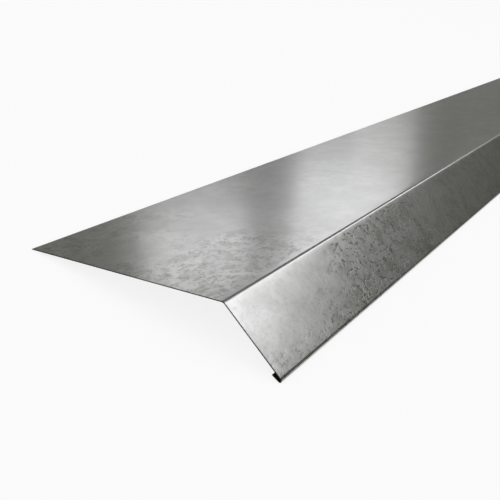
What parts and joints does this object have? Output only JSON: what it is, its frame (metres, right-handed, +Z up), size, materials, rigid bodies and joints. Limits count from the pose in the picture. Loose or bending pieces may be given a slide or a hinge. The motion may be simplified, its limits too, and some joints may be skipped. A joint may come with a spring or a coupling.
{
  "type": "eaves drip flashing",
  "caption": "Folded galvanised sheet-steel eaves flashing: a wide roof flange, a sloping drip leg and an open hemmed drip edge that throws roof water clear of the fascia.",
  "frame": {"origin": "on the floor, under the middle of the part's box, as it lies unheld: on the flange's free edge and the drip nose", "axes": "+X along the stock's length; +Y from the drip edge towards the flange's free edge; +Z up, out of the flange's top face side"},
  "size_m": [2, 0.1882, 0.0293],
  "materials": {
    "galvanised_steel": "bare hot-dip galvanised sheet, satin, with cloudy handling smudges, dull specks and fine scuffs"
  },
  "bodies": {
    "root": {"drip_flashing": "galvanised_steel"}
  },
  "joints": []
}
